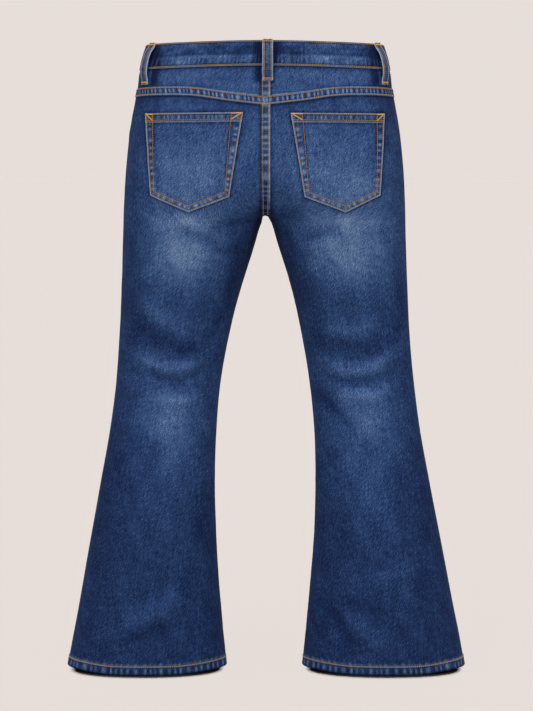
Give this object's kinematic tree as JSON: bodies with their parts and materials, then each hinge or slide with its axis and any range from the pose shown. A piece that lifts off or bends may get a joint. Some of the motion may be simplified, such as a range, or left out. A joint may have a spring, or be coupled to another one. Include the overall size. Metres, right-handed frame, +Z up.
{
  "type": "bootcut jeans",
  "caption": "Flared jeans in faded denim with patch back pockets, filled out as when worn, open at the waist and at both hems",
  "frame": {"origin": "the middle of the waist, where a wearer holds the jeans up, 985 mm above the hems", "axes": "+Z is up, the fly faces -Y, the back pockets face +Y and the wearer's left is +X"},
  "size_m": [0.6464, 0.2223, 1.0075],
  "materials": {
    "denim": "matte",
    "denim_light": "matte",
    "copper": "satin"
  },
  "bodies": {
    "root": {"back_leg_left": "denim", "back_leg_right": "denim", "front_leg_left": "denim", "front_leg_right": "denim", "back_yoke_left": "denim", "back_yoke_right": "denim", "front_pocket_facing_left": "denim", "front_pocket_facing_right": "denim", "hem_left": "denim", "hem_right": "denim", "waistband": "denim", "fly": "denim", "back_pocket_left": "denim_light", "back_pocket_right": "denim_light", "belt_loop_back": "denim_light", "belt_loop_side_left": "denim_light", "belt_loop_side_right": "denim_light", "belt_loop_front_left": "denim_light", "belt_loop_front_right": "denim_light", "waist_button": "copper"}
  },
  "joints": []
}
